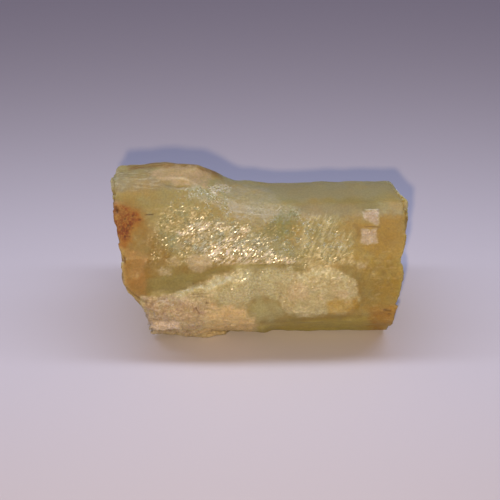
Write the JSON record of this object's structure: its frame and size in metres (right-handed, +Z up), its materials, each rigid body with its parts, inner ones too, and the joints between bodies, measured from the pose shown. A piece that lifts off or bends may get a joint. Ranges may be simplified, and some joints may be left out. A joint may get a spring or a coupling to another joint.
{
  "type": "raw heliodor crystal",
  "caption": "Broken length of a raw yellow-green beryl prism lying on its side, with etched faces, rough broken ends, rust stains and pale feldspar crust.",
  "frame": {"origin": "middle of the bounding box, on the surface that the crystal rests on", "axes": "+X along the prism, -Y towards the crusted front, +Z up"},
  "size_m": [0.045, 0.0256, 0.0252],
  "materials": {
    "heliodor": "cloudy etched beryl, waxy and translucent, yellow-green with rust stains and pale crust"
  },
  "bodies": {
    "root": {"heliodor_crystal": "heliodor"}
  },
  "joints": []
}
